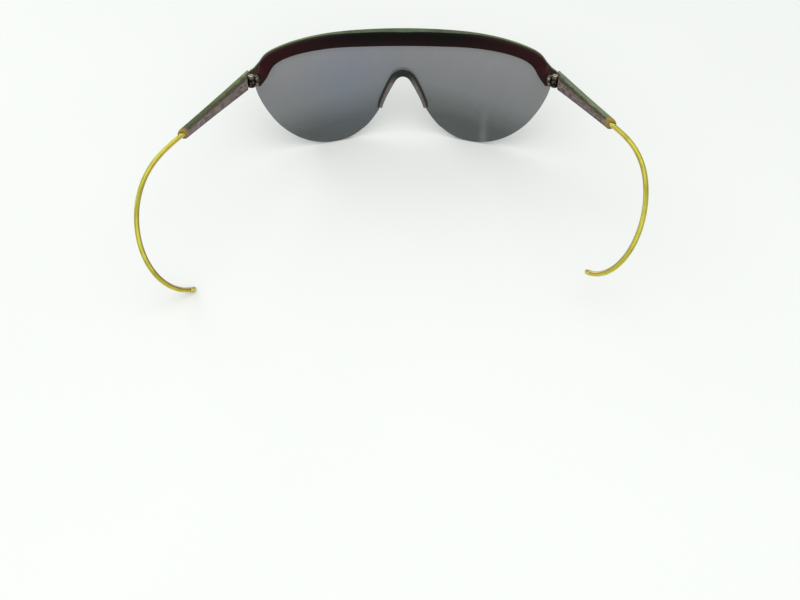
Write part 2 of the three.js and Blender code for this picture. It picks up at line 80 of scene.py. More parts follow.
# The brow bar: its outline's right half, and which share of its upper half meets which of its lower half.
BROW_LOWER = [
    (0, 46.9), (16, 47.1), (30, 47.6), (41, 47.4), (49, 46.6), (54.6, 45.1), (58, 42.7), (60, 40),
    (61.2, 38.4),
]
BROW_UPPER = [
    (0, 53.6), (26, 53.5), (38, 53), (48, 51.9), (56.3, 50.1), (60.8, 48.2), (63.7, 45.1), (66, 43),
    (68.1, 42),
]
HORN_LOW = 36.9
HORN_INNER = 62.4
HORN_OUTER = 68.1
BROW_MATCH = [(0, 0), (0.6, 0.53), (0.83, 0.8), (0.95, 0.905), (1, 1)]
BROW_STATIONS = 260
BROW_END_EDGE = 0.15
BROW_BACK = LENS_RADIUS - LENS_THICK - GAP - 1.3
BROW_FRONT = LENS_RADIUS + GAP + 0.9
GROOVE_BACK = LENS_RADIUS - LENS_THICK - GAP
GROOVE_FRONT = LENS_RADIUS + GAP
# Each end thickens to a lug below LUG_TOP. A chamfer is how far it reaches in, and the radius it ends at.
LUG_TOP = 45
LUG_BLEND = 2.6
LUG_BACK = -22.6
BROW_CHAMFER = (0.5, 127)
LUG_CHAMFER = (2, 130.1)

# The nose bead.
BEAD_WEB = 0.8
BEAD_WALL = 0.8
BEAD_LOW = 16.1
BEAD_COVER_APEX = 2.4
BEAD_COVER_END = 1.4
BEAD_LEG = 0.35
BEAD_END_EDGE = 0.12
NOTCH_HALF = 15

# The hinges.
HINGE = Vector((66.3, -24.4, 39.9))
KNUCKLE = {"radius": 1.5, "height": 1.4, "pitch": 1.7, "bore": 0.85}
LEAF_THICK = 0.9
LEAF_CORNER = 0.8
LEAF_EDGE = 0.1
FRONT_LEAF = {"length": 3.5, "half": 2.4, "chamfer": 1}
TEMPLE_LEAF = {"length": 8.6, "half": 1.8, "strap": 0.7}
SEAT = KNUCKLE["radius"] + GAP
FRONT_RIVET_X = -2.5
FRONT_RIVET_Z = (-1.2, 1.2)
RIVET_HEAD = [(-0.45, 0.2), (-0.42, 0.42), (-0.32, 0.62), (-0.18, 0.75), (-0.04, 0.8), (0, 0.78), (0, 0.5)]
SCREW = {"low": -2.4, "seat": 2.7, "shank": 0.6, "head": 1.3, "slot": 0.18, "turn": 35}
PIN = {"radius": 0.5, "recess": 0.1, "places": (-4.2, -7)}

# The temple bars. BAR_SIDE is a curve's three control points: y, and half the height of the flat side.
# CORNER is cut away for the knuckles. Behind MOUTH_INSIDE's y and within its radius is the mouth's inside.
BAR_LENGTH = 49.6
BAR_HALF = 1.55
BAR_CENTRE = 2.15
BAR_SIDE = [(4, 2.95), (-24.4, 1.6), (-47.8, 1.2)]
BAR_EDGE = 0.8
BAR_ROUND = 0.9
BAR_PINCH = 0.3
BAR_LIP = 0.12
BUTT_POINT = (0.64, 1.36)
BUTT_SLOPE = math.tan(math.radians(28))
CORNER = {"wide": 2.1, "back": 1.9}
MOUTH_Y = -48.5
MOUTH_SLOPE = math.tan(math.radians(32))
SOCKET = {"radius": 1.1, "y": -47.2}
CORE_BORE = {"radius": 0.75, "y": -43.6}
MOUTH_INSIDE = {"y": -43, "radius": 1.4}
# The green of each bar's upper edge: its colour in front and at the rear, and how far up the bar it starts.
GREEN_TOP = {"left": ((98, 116, 70), (66, 86, 42), 0.94), "right": ((94, 106, 82), (110, 120, 92), 0.82)}
# The wear on each bar's inner face: where its pattern starts, how strong it is, and where amber begins.
WEAR = {"left": (0, 0.6, 0.925), "right": (7.3, 1, 0.905)}

# The ear hooks, with lengths taken from each bar's rear end.
HOOK_LENGTH = 93
HOOK_EASE = 27.4
HOOK_STEP = 0.05
TIP = {"length": 3.4, "radius": 1.1, "bore": 0.75, "depth": 1.8, "nose": 0.7, "groove": 0.07}
TIP_START = HOOK_LENGTH - TIP["length"]
COLLAR = [
    (-2, 0.75), (-2, 0.95), (-1.9, 1.05), (0.2, 1.05), (0.3, 0.98), (0.42, 0.98), (0.52, 1.05),
    (0.75, 1.05), (0.9, 0.9), (0.9, 0.75),
]
COIL_START = COLLAR[-1][0]
COIL_RADIUS = 1.05
WIRE_RADIUS = 0.17
WIRE_SIDES = 8
COIL_STEPS = 18
CORE_RADIUS = 0.45
CORE_START = -5

# How each temple stands: its hinge's angle, its bar's slope, its hook's turn inward, and its bend's radius.
SET = {
    "left": {"splay": 26.2, "rise": -2.85, "roll": 15.6, "bend": 29.6},
    "right": {"splay": 18, "rise": 4.4, "roll": 18.5, "bend": 27.6},
}

# The stage, in metres. A light is its name, size, power, place and aim.
CAMERA = {"place": (0.004672, -0.316951, 0.321), "pitch": 39.3, "lens": 45, "sensor": 36}
LIGHTS = [
    ("overhead", (1.8, 1.8), 13, (0, -0.5, 1.15), (0, 0, 0)),
    ("back_left", (0.8, 0.6), 3, (-0.9, 0.8, 0.7), (0, 0, 0.02)),
]
SKY_COLOUR = (0.97, 1.0, 0.98, 1)
SKY_STRENGTH = 0.7
FLOOR_SIZE = 4


# ---- frames ----

def joint(word):
    return next(j for j in frame["joints"] if j["name"] == f"{word}_temple_fold")


def front_frame():
    """Front frame in millimetres to the row frame in metres, from the left hinge's place and axis."""
    hinge = joint("left")
    axis = Vector(hinge["axis"])
    lean = math.atan2(axis.y, axis.z)
    leaned = Matrix.Rotation(-lean, 4, "X") @ Matrix.Scale(MM, 4)
    corner = Matrix.Translation((HINGE.x, -HINGE.y, -HINGE.z))
    return Matrix.Translation(hinge["pos_m"]) @ leaned @ corner


def hinge_frame(word):
    side = SIDES[word]
    place = Matrix.Translation((side * HINGE.x, HINGE.y, HINGE.z))
    return FRONT @ place @ Matrix.Scale(side, 4, (1, 0, 0))


def temple_frame(word):
    return hinge_frame(word) @ Matrix.Rotation(math.radians(SET[word]["splay"]), 4, "Z")


def bar_frame(word):
    """The bar's own frame within its temple's, where the bar runs straight back along -y."""
    rise = math.radians(SET[word]["rise"])
    return Matrix.Translation((BAR_CENTRE, 0, 0)) @ Matrix.Rotation(-rise, 4, "X")


FRONT = front_frame()


# ---- curves ----

def spline(points, steps):
    """A Catmull-Rom curve through the points, as an array of points."""
    known = np.array([points[0], *points, points[-1]], float)
    found = []
    for a, b, c, d in zip(known, known[1:], known[2:], known[3:]):
        for t in np.arange(steps) / steps:
            slope, bow, twist = c - a, 2 * a - 5 * b + 4 * c - d, 3 * b - a - 3 * c + d
            found.append(b + 0.5 * (slope * t + bow * t * t + twist * t**3))
    return np.array([*found, points[-1]])


def mirrored(half, steps):
    """A smooth curve through an outline's right half and its mirror image."""
    left = [(-x, z) for x, z in reversed(half) if x > 0]
    return spline([*left, *half], steps)


def at_lengths(points, shares):
    """Points at the given shares of a polyline's length."""
    steps = np.hypot(*np.diff(points, axis=0).T)
    length = np.concatenate([[0], np.cumsum(steps)])
    return np.column_stack([np.interp(np.array(shares) * length[-1], length, axis) for axis in points.T])


def rounded(corners, steps=4):
    """A closed outline from corners (x, y, radius): rows of x, y and how far into an edge's rounding."""
    rows = []
    for i, (x, y, radius) in enumerate(corners):
        here = Vector((x, y))
        back = Vector(corners[i - 1][:2]) - here
        ahead = Vector(corners[(i + 1) % len(corners)][:2]) - here
        half = max(back.angle(ahead, math.pi) / 2, 0.1)
        reach = min(radius / math.tan(half) if half < 1.56 else 0, 0.49 * back.length, 0.49 * ahead.length)
        start, end = here + back.normalized() * reach, here + ahead.normalized() * reach
        for t in np.linspace(0, 1, steps + 1):
            point = start * (1 - t) ** 2 + here * 2 * t * (1 - t) + end * t * t
            rows.append((point.x, point.y, 4 * t * (1 - t)))
    return rows


def smooth_step(value):
    share = min(max(value, 0), 1)
    return share * share * (3 - 2 * share)


def wall_y(radius, x):
    """The y of a sheet bent to a radius. The lens's outer face has y = 0 at its middle."""
    return math.sqrt(radius**2 - x**2) - LENS_RADIUS


# ---- meshes ----

def loft(bm, rings, marks=None, looped=False):
    """One skin through rings of equally many points, capped unless looped. marks are rows of values for
    the vertex layers."""
    names = list(marks or {})
    for name in names:
        bm.verts.layers.float.new(name)
    rows = []
    for i, ring in enumerate(rings):
        row = []
        for k, point in enumerate(ring):
            vert = bm.verts.new(point)
            for name in names:
                vert[bm.verts.layers.float[name]] = marks[name][i][k]
            row.append(vert)
        rows.append(row)
    pairs = list(zip(rows, rows[1:])) + ([(rows[-1], rows[0])] if looped else [])
    for a, b in pairs:
        for k in range(len(a)):
            bm.faces.new((a[k - 1], a[k], b[k], b[k - 1]))
    if not looped:
        bm.faces.new(rows[0])
        bm.faces.new(rows[-1])


def round_edges(bm, edges, width, segments=2):
    settings = {"segments": segments, "profile": 0.5, "affect": "EDGES", "clamp_overlap": True}
    bmesh.ops.bevel(bm, geom=edges, offset=width, **settings)


def sharp_edges(bm, angle):
    return [e for e in bm.edges if len(e.link_faces) == 2 and e.calc_face_angle() > angle]


def soften(bm, width):
    """Rounds every sharp edge."""
    round_edges(bm, sharp_edges(bm, SHARP_ANGLE), width)


def soften_caps(bm, width):
    """Rounds the edges of the many-sided faces that close a loft."""
    round_edges(bm, [e for f in bm.faces if len(f.verts) > 4 for e in f.edges], width)


def mesh_of(bm, name):
    bmesh.ops.recalc_face_normals(bm, faces=bm.faces)
    mesh = bpy.data.meshes.new(name)
    bm.to_mesh(mesh)
    bm.free()
    return mesh


def combine(base, tools, merge_flat=True):
    """Base joined with, or cut by, each tool: tools are pairs of an operation and a bmesh."""
    objects = [bpy.data.objects.new("work", mesh_of(bm, "work")) for bm in [base, *[bm for _, bm in tools]]]
    for obj in objects:
        bpy.context.scene.collection.objects.link(obj)
    for (operation, _), tool in zip(tools, objects[1:]):
        change = objects[0].modifiers.new("cut", "BOOLEAN")
        change.operation = operation
        change.object = tool
        change.solver = "EXACT"
    bpy.context.view_layer.update()
    graph = bpy.context.evaluated_depsgraph_get()
    result = bmesh.new()
    result.from_mesh(objects[0].evaluated_get(graph).data)
    for obj in objects:
        bpy.data.meshes.remove(obj.data)
    bmesh.ops.remove_doubles(result, verts=result.verts, dist=1e-4)
    if merge_flat:
        bmesh.ops.dissolve_limit(result, angle_limit=0.01, verts=result.verts, edges=result.edges)
    return result


def mark(bm, name, rule):
    """Gives each vertex a value worked out from its place."""
    layer = bm.verts.layers.float.new(name)
    for vert in bm.verts:
        vert[layer] = rule(vert.co)


def piece(name, bm, matrix, material, body, node):
    """Places a bmesh as a finished piece that rides on a body and stands for a CAD node."""
    bm.transform(matrix)
    mesh = mesh_of(bm, name)
    mesh.materials.append(material)
    mesh.polygons.foreach_set("use_smooth", [True] * len(mesh.polygons))
    mesh.set_sharp_from_angle(angle=SMOOTH_ANGLE)
    obj = bpy.data.objects.new(name, mesh)
    bpy.context.scene.collection.objects.link(obj)
    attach(obj, body)
    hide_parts(node)


def straight(origin, axis, side):
    """A line for turned pieces: the point, and two directions across it, at a distance along it."""
    origin, axis, side = Vector(origin), Vector(axis), Vector(side)
    across = axis.cross(side)
    return lambda s: (origin + axis * s, side, across)


def turned(profile, line, sides=40, looped=False):
    """A round piece along a line, from rows of distance along it and radius. A looped profile closes on
    itself, for a piece with a hole right through it."""
    rings = []
    for s, radius in profile:
        centre, u, v = line(s)
        angles = [2 * math.pi * k / sides for k in range(sides)]
        rings.append([centre + (u * math.cos(a) + v * math.sin(a)) * radius for a in angles])
    bm = bmesh.new()
    loft(bm, rings, looped=looped)
    return bm


def prism(outline, low, high, place):
    """An outline of x and y pulled from low to high, each point put in its frame by place."""
    bm = bmesh.new()
    loft(bm, [[place(x, y, level) for x, y, _ in outline] for level in (low, high)])
    return bm


def block(low, high):
    bm = bmesh.new()
    bmesh.ops.create_cube(bm, size=1)
    low, high = Vector(low), Vector(high)
    bm.transform(Matrix.Translation((low + high) / 2) @ Matrix.Diagonal((*(high - low), 1)))
    return bm


# ---- material nodes ----

def srgb(red, green, blue):
    """Linear colour from one given as it looks on a screen, 0 to 255."""
    shares = [c / 255 for c in (red, green, blue)]
    return tuple(c / 12.92 if c < 0.0404 else ((c + 0.055) / 1.055) ** 2.4 for c in shares)


def add(tree, kind, sockets=None, **settings):
    node = tree.nodes.new("ShaderNode" + kind)
    for key, value in settings.items():
        setattr(node, key, value)
    for key, value in (sockets or {}).items():
        if isinstance(value, bpy.types.NodeSocket):
            tree.links.new(value, node.inputs[key])
        else:
            node.inputs[key].default_value = value
    return node


def started(name):
    material = bpy.data.materials.new(name)
    material.use_nodes = True
    tree = material.node_tree
    shader = next(n for n in tree.nodes if n.type == "BSDF_PRINCIPLED")
    return material, tree, shader


def feed(tree, shader, socket, value):
    tree.links.new(value, shader.inputs[socket])


def painted(tree, name):
    """The value that a piece's builder left on its vertices under this name."""
    return add(tree, "Attribute", attribute_name=name).outputs["Fac"]


def place_of(tree, stretch=(1, 1, 1)):
    """Position on the object in millimetres, squeezed along an axis where the pattern is to run long."""
    coords = add(tree, "TexCoord").outputs["Object"]
    return moved(tree, coords, Scale=tuple(s / MM for s in stretch))


def noise(tree, place, scale, detail, roughness=0.55):
    sockets = {"Vector": place, "Scale": scale, "Detail": detail, "Roughness": roughness}
    return add(tree, "TexNoise", sockets).outputs["Fac"]


def ramp(tree, value, stops):
    """Colours or grey levels at positions from 0 to 1."""
    node = add(tree, "ValToRGB", {"Fac": value})
    elements = node.color_ramp.elements
    while len(elements) < len(stops):
        elements.new(0.5)
    for element, (position, colour) in zip(elements, stops):
        element.position = position
        element.color = (*colour, 1) if isinstance(colour, tuple) else (colour, colour, colour, 1)
    return node.outputs["Color"]


def spread(tree, value, low, high, to_low=0.0, to_high=1.0):
    """The value stretched from one range to another, and held at the new range's ends."""
    sockets = {"Value": value, "From Min": low, "From Max": high, "To Min": to_low, "To Max": to_high}
    return add(tree, "MapRange", sockets).outputs["Result"]


def maths(tree, operation, a, b=0.0):
    return add(tree, "Math", {0: a, 1: b}, operation=operation).outputs[0]


def mixed(tree, share, a, b):
    """Colour a where share is 0, and b where it is 1."""
    a, b = [(*c, 1) if isinstance(c, tuple) else c for c in (a, b)]
    return add(tree, "Mix", {0: share, 6: a, 7: b}, data_type="RGBA").outputs[2]


def moved(tree, place, **sockets):
    return add(tree, "Mapping", {"Vector": place, **sockets}).outputs[0]


def bumped(tree, shader, height, distance):
    sockets = {"Height": height, "Distance": distance * MM}
    feed(tree, shader, "Normal", add(tree, "Bump", sockets).outputs[0])


# ---- materials ----

def brow_outside(tree, mm, along):
    """Clouded olive green, brighter towards the ends, with scuffs along the bar."""
    cloud = spread(tree, noise(tree, mm, 0.12, 4), 0.35, 0.65)
    middle = mixed(tree, cloud, srgb(60, 72, 50), srgb(84, 98, 72))
    end = mixed(tree, cloud, srgb(86, 108, 62), srgb(102, 124, 74))
    olive = mixed(tree, spread(tree, along, 0.35, 0.65), middle, end)
    scuffs = noise(tree, place_of(tree, (0.3, 1, 1)), 1.8, 7, 0.75)
    olive = mixed(tree, spread(tree, scuffs, 0.52, 0.66, 0, 0.4), olive, srgb(136, 146, 116))
    return mixed(tree, spread(tree, scuffs, 0.46, 0.34, 0, 0.45), olive, srgb(52, 60, 40))


def brow_behind(tree, along, height, fine):
    """Near black in the middle, maroon towards the ends and along the lower edge."""
    behind = mixed(tree, spread(tree, along, 0.35, 0.95), srgb(14, 12, 11), srgb(50, 18, 21))
    behind = mixed(tree, spread(tree, height, 0.6, 0.1, 0, 0.7), behind, srgb(36, 17, 20))
    behind = mixed(tree, spread(tree, along, 0.9, 0.98), behind, srgb(46, 26, 25))
    return mixed(tree, spread(tree, fine, 0.4, 0.75, 0, 0.4), behind, srgb(12, 12, 10))


def brow_plastic():
    """Satin moulded plastic: green outside, black to maroon behind. The green covers the whole top in the
    middle and thins to the front edge towards the ends."""
    material, tree, shader = started("brow_plastic")
    mm = place_of(tree)
    along = painted(tree, "along")
    fine = noise(tree, mm, 2.2, 5)
    border = ramp(tree, along, [(0.0, 0.08), (0.3, 0.2), (0.5, 0.5), (0.8, 0.6), (1.0, 0.72)])
    uneven = maths(tree, "ADD", painted(tree, "depth"), spread(tree, fine, 0.3, 0.7, -0.03, 0.03))
    outside = spread(tree, maths(tree, "SUBTRACT", uneven, border), -0.04, 0.05)
    behind = brow_behind(tree, along, painted(tree, "height"), fine)
    colour = mixed(tree, outside, behind, brow_outside(tree, mm, along))
    patchy = spread(tree, noise(tree, mm, 0.35, 6, 0.7), 0.4, 0.7)
    # The upper rounded edges are painted pale: partly wear, partly a painted highlight.
    wear_and_highlight = maths(tree, "MULTIPLY", maths(tree, "MULTIPLY", painted(tree, "edge"), patchy), outside)
    colour = mixed(tree, maths(tree, "MULTIPLY", wear_and_highlight, 0.35), colour, srgb(146, 158, 128))
    feed(tree, shader, "Base Color", colour)
    feed(tree, shader, "Roughness", spread(tree, fine, 0.3, 0.7, 0.36, 0.52))
    shader.inputs["Specular IOR Level"].default_value = 0.05
    bumped(tree, shader, noise(tree, mm, 3.0, 6), 0.03)
    return material


def smoke_lens():
    """Smoke grey sheet, denser towards its lower edge and painted darker there as shade, with a cool patch
    in the left lobe, one upright glint in the right one, faint streaks from wiping and a pale ground rim."""
    material, tree, shader = started("smoke_lens")
    height = painted(tree, "height")
    streaks = noise(tree, place_of(tree, (0.35, 1, 0.05)), 0.6, 4)
    # Darker towards the bottom: painted shade for the floor in the sheet's own shadow, seen through it.
    tint_and_painted_light = ramp(tree, height, [(0.0, srgb(72, 78, 77)), (0.2, srgb(68, 73, 72)), (0.5, srgb(109, 111, 113)),
                               (0.9, srgb(117, 116, 120))])
    tint_and_painted_light = mixed(tree, painted(tree, "cool"), tint_and_painted_light, srgb(98, 110, 136))
    tint_and_painted_light = mixed(tree, spread(tree, streaks, 0.55, 0.8, 0, 0.07), tint_and_painted_light, srgb(150, 152, 152))
    tint_and_painted_light = mixed(tree, painted(tree, "glint"), tint_and_painted_light, srgb(170, 176, 168))
    feed(tree, shader, "Base Color", mixed(tree, painted(tree, "rim"), tint_and_painted_light, srgb(170, 172, 170)))
    feed(tree, shader, "Alpha", spread(tree, height, 0.1, 0.9, 0.83, 0.7))
    feed(tree, shader, "Roughness", spread(tree, streaks, 0.4, 0.8, 0.03, 0.09))
    shader.inputs["IOR"].default_value = 1.49
    return material


def bead_rubber():
    """Black soft moulding, worn to a brownish grey down the legs, where the nose rubs."""
    material, tree, shader = started("bead_rubber")
    mm = place_of(tree)
    worn = spread(tree, noise(tree, mm, 0.8, 5), 0.3, 0.65, 0.5, 1)
    worn = maths(tree, "MULTIPLY", worn, painted(tree, "rubbed_and_lit"))
    colour = mixed(tree, worn, srgb(16, 17, 17), srgb(112, 104, 103))
    feed(tree, shader, "Base Color", colour)
    feed(tree, shader, "Roughness", spread(tree, noise(tree, mm, 4, 4), 0.3, 0.7, 0.38, 0.55))
    shader.inputs["Specular IOR Level"].default_value = 0.3
    bumped(tree, shader, noise(tree, mm, 5, 5), 0.02)
    return material


def bar_patterns(tree, word):
    """Streaks along the bar, slanting scratches, and clouds."""
    along, across, out = [painted(tree, name) for name in ("along", "across", "out")]
    length = maths(tree, "MULTIPLY", along, BAR_LENGTH)
    run = add(tree, "CombineXYZ", {0: length, 1: across, 2: out}).outputs[0]
    run = moved(tree, run, Location=(WEAR[word][0], 0, 0))
    streak = noise(tree, moved(tree, run, Scale=(0.3, 3.6, 1)), 1.0, 6, 0.7)
    scratch = noise(tree, moved(tree, run, Scale=(0.7, 4, 1), Rotation=(0, 0, 0.5)), 2.0, 8, 0.8)
    return streak, scratch, noise(tree, place_of(tree), 0.3, 5, 0.65)


def bar_face(tree, strength, streak, scratch, cloud):
    """Mottled grey mauve, browner below, streaked and scratched dark and pale."""
    lower = spread(tree, painted(tree, "across"), 0.4, -0.3)
    colour = mixed(tree, lower, srgb(106, 94, 80), srgb(104, 88, 94))
    colour = mixed(tree, spread(tree, cloud, 0.38, 0.62), colour, srgb(136, 122, 116))
    front = spread(tree, painted(tree, "along"), 0.16, 0.02, 0, 0.5)
    colour = mixed(tree, front, colour, srgb(142, 134, 130))
    colour = mixed(tree, spread(tree, streak, 0.49, 0.57, 0, strength), colour, srgb(62, 55, 40))
    colour = mixed(tree, spread(tree, scratch, 0.56, 0.62, 0, 0.9 * strength), colour, srgb(176, 164, 162))
    return mixed(tree, spread(tree, scratch, 0.44, 0.36, 0, 0.8 * strength), colour, srgb(46, 38, 34))


def green_edged(tree, word, colour, streak, cloud):
    """The colour with green over the bar's outer upper edge, and a dark line of painted shade below the
    green.
    """
    pale, deep, border = GREEN_TOP[word]
    upper = maths(tree, "ADD", painted(tree, "across"), maths(tree, "MULTIPLY", painted(tree, "out"), 0.22))
    upper = maths(tree, "ADD", upper, spread(tree, cloud, 0.3, 0.7, -0.1, 0.1))
    green = mixed(tree, spread(tree, painted(tree, "along"), 0.05, 0.6), srgb(*pale), srgb(*deep))
    green = mixed(tree, spread(tree, streak, 0.5, 0.62, 0, 0.45), green, srgb(54, 64, 40))
    # Painted shade: a dark line just below the green edge.
    colour = mixed(tree, spread(tree, upper, border - 0.8, border - 0.4, 0, 0.8), colour, srgb(56, 56, 40))
    return mixed(tree, spread(tree, upper, border - 0.08, border + 0.05), colour, green)


def temple_plastic(word):
    """Scuffed translucent plastic: mottled grey mauve inside, green along its outer upper edge, painted
    shade of purple brown below, amber where it is thin round its open end, and paler on its cut faces."""
    material, tree, shader = started(f"temple_plastic_{word}")
    along, across = painted(tree, "along"), painted(tree, "across")
    streak, scratch, cloud = bar_patterns(tree, word)
    _, strength, end = WEAR[word]
    colour = bar_face(tree, strength, streak, scratch, cloud)
    colour = green_edged(tree, word, colour, streak, cloud)
    # Painted shade: the bar's lower part darkens to purple brown.
    colour = mixed(tree, spread(tree, across, -0.5, -0.85, 0, 0.85), colour, srgb(66, 42, 62))
    amber = maths(tree, "MAXIMUM", spread(tree, along, end, end + 0.04), painted(tree, "mouth"))
    lit = spread(tree, across, -0.5, 0.5, 0.35, 0.95)
    colour = mixed(tree, maths(tree, "MULTIPLY", amber, lit), colour, srgb(148, 122, 44))
    colour = mixed(tree, maths(tree, "MULTIPLY", painted(tree, "cut"), 0.55), colour, srgb(140, 140, 118))
    feed(tree, shader, "Base Color", colour)
    feed(tree, shader, "Roughness", spread(tree, streak, 0.3, 0.7, 0.4, 0.6))
    shader.inputs["Specular IOR Level"].default_value = 0.22
    bumped(tree, shader, maths(tree, "ADD", streak, scratch), 0.05)
    return material


def metal(name, bright, dull_and_dark_reflection, roughness, grime):
    """Plated metal with tarnish in soft patches, and a painted highlight on the marked tops, lit from above.
    """
    material, tree, shader = started(name)
    mm = place_of(tree)
    patches = spread(tree, noise(tree, mm, 0.6, 4), *grime)
    # Painted highlight: the marked tops stay bright, free of tarnish.
    away_from_highlight = maths(tree, "SUBTRACT", 1.0, painted(tree, "rubbed_and_lit"))
    colour = mixed(tree, maths(tree, "MULTIPLY", patches, away_from_highlight), bright, dull_and_dark_reflection)
    feed(tree, shader, "Base Color", colour)
    fine = noise(tree, mm, 6, 4)
    feed(tree, shader, "Roughness", spread(tree, fine, 0.3, 0.7, roughness - 0.05, roughness + 0.06))
    shader.inputs["Metallic"].default_value = 1.0
    return material


def gold_plating():
    """Gold plated wire, coloured by which way it faces as painted light: greenish yellow outside its bend,
    tan inside it, and a painted dark reflection where the two meet.
    """
    material, tree, shader = started("gold_metal")
    mm = place_of(tree)
    inside = painted(tree, "inside")
    # Painted light: greenish yellow on the outer, lit side of the bend, and a lightened tan on its inner
    # side.
    colour = mixed(tree, spread(tree, inside, -0.2, 0.5), srgb(208, 202, 88), srgb(230, 198, 156))
    # A painted dark reflection along where the two sides meet.
    band = spread(tree, maths(tree, "ABSOLUTE", maths(tree, "SUBTRACT", inside, 0.25)), 0.3, 0.05)
    dull_and_dark_reflection = maths(tree, "MULTIPLY", band, painted(tree, "dull_and_dark_reflection"))
    colour = mixed(tree, maths(tree, "MULTIPLY", dull_and_dark_reflection, 0.8), colour, srgb(92, 80, 26))
    patches = spread(tree, noise(tree, mm, 0.25, 3), 0.4, 0.7, 0, 0.4)
    colour = mixed(tree, patches, colour, srgb(160, 148, 62))
    feed(tree, shader, "Base Color", colour)
    shader.inputs["Roughness"].default_value = 0.28
    shader.inputs["Metallic"].default_value = 1.0
    return material


# ---- the front's pieces ----

def lens_region():
    """A test of whether x, z lies inside the groove that the lens's upper edge needs."""
    upper = mirrored(LENS_UPPER, 24)
    return lambda x, z: abs(x) < LENS_END and z < np.interp(x, upper[:, 0], upper[:, 1]) + GAP


def groove_height(inside, low, high):
    """How far up a section of the brow bar, as a share of it, its groove for the lens reaches."""
    shares = np.linspace(0, 1, 80)
    for share in shares:
        point = low + (high - low) * share
        if not inside(*point):
            return share
    return shares[-1]


def brow_section(length, groove, lug):
    """A C round the groove: rows of distance up from the lower edge, radius, and edge rounding."""
    chamfer, slant = [plain + (end - plain) * lug for plain, end in zip(BROW_CHAMFER, LUG_CHAMFER)]
    return rounded([
        (0, BROW_BACK, 0.45), (length - chamfer, BROW_BACK, 0.3), (length, slant, 0.3),
        (length, BROW_FRONT, 0.6), (0, BROW_FRONT, 0.3), (0, GROOVE_FRONT, 0.1), (groove, GROOVE_FRONT, 0.1),
        (groove, GROOVE_BACK, 0.1), (0, GROOVE_BACK, 0.2),
    ])


def brow_y(radius, x, lug):
    """The y of a radius, pulled back behind the groove to a flat face where the bar is a lug."""
    plain = wall_y(radius, x)
    if radius >= GROOVE_BACK:
        return plain
    share = (radius - BROW_BACK) / (GROOVE_BACK - BROW_BACK)
    thick = LUG_BACK + (wall_y(GROOVE_BACK, x) - LUG_BACK) * share
    return plain + (thick - plain) * lug


def brow_bar():
    """Sections between the bar's lower and upper outlines, each bent to the lens's curve."""
    lower = np.array([(-HORN_INNER, HORN_LOW), *mirrored(BROW_LOWER, 30), (HORN_INNER, HORN_LOW)])
    upper = np.array([(-HORN_OUTER, HORN_LOW), *mirrored(BROW_UPPER, 30), (HORN_OUTER, HORN_LOW)])
    shares = np.linspace(-1, 1, BROW_STATIONS)
    matched = np.sign(shares) * np.interp(abs(shares), *zip(*BROW_MATCH))
    lows, highs = at_lengths(lower, 0.5 + shares / 2), at_lengths(upper, 0.5 + matched / 2)
    inside = lens_region()
    rings, marks = [], {"depth": [], "edge": [], "along": [], "height": []}
    for share, low, high in zip(shares, lows, highs):
        length = float(np.hypot(*(high - low)))
        lug = smooth_step((LUG_TOP - (low[1] + high[1]) / 2) / LUG_BLEND)
        section = brow_section(length, groove_height(inside, low, high) * length, lug)
        ring = []
        for s, radius, _ in section:
            x, z = low + (high - low) * s / length
            ring.append((x, brow_y(radius, x, lug), z))
        rings.append(ring)
        marks["depth"].append([(radius - BROW_BACK) / (BROW_FRONT - BROW_BACK) for _, radius, _ in section])
        marks["edge"].append([edge if s > 0.5 * length else 0 for s, _, edge in section])
        marks["along"].append([abs(share)] * len(section))
        marks["height"].append([s / length for s, _, _ in section])
    bm = bmesh.new()
    loft(bm, rings, marks)
    soften_caps(bm, BROW_END_EDGE)
    piece("moulded_brow_bar", bm, FRONT, brow_plastic(), "front", "brow_bar")


def glint(p):
    away = ((p.x - GLINT["x"]) / GLINT["wide"]) ** 2
    return GLINT["share"] * math.exp(-away) * smooth_step(1 - p.z / GLINT["top"])


def cool(p):
    away = ((p.x - COOL["x"]) / COOL["wide"]) ** 2 + ((p.z - COOL["z"]) / COOL["tall"]) ** 2
    return COOL["share"] * math.exp(-away)


def ground_rim(p):
    """1 within the sheet's thickness and 0 on its two faces."""
    middle = LENS_RADIUS - LENS_THICK / 2
    return float(abs(math.hypot(p.x, p.y + LENS_RADIUS) - middle) < RIM_HALF)


LENS_MARKS = {
    "height": lambda p: (p.z + TINT_AND_SHADE["tilt"] * (abs(p.x) - TINT_AND_SHADE["x"])) / TINT_AND_SHADE["height"],
    "glint": glint,
    "cool": cool,
    "rim": ground_rim,
}


def lens_sheet():
    """The lens outline cut into upright strips, bent to the lens's radius and given its thickness."""
    lower, upper = mirrored(LENS_LOWER, 10), mirrored(LENS_UPPER, 24)
    bm = bmesh.new()
    bm.faces.new([bm.verts.new((x, 0, z)) for x, z in [*lower, *upper[::-1]]])
    cuts = [((x, 0, 0), (1, 0, 0)) for x in LENS_STRIPS]
    cuts += [((0, 0, z), (0, 0, 1)) for z in LENS_BANDS]
    for place, normal in cuts:
        geometry = [*bm.verts, *bm.edges, *bm.faces]
        bmesh.ops.bisect_plane(bm, geom=geometry, plane_co=place, plane_no=normal, dist=1e-5)
    front = list(bm.faces)
    made = bmesh.ops.extrude_face_region(bm, geom=front)["geom"]
    back = {v for v in made if isinstance(v, bmesh.types.BMVert)}
    for vert in bm.verts:
        radius = LENS_RADIUS - (LENS_THICK if vert in back else 0)
        vert.co.y = wall_y(radius, vert.co.x)
    round_edges(bm, [e for e in sharp_edges(bm, RIM_ANGLE) if on_rim(e)], LENS_BEVEL, 3)
    for name, rule in LENS_MARKS.items():
        mark(bm, name, rule)
    piece("lens_sheet", bm, FRONT, smoke_lens(), "front", "lens")


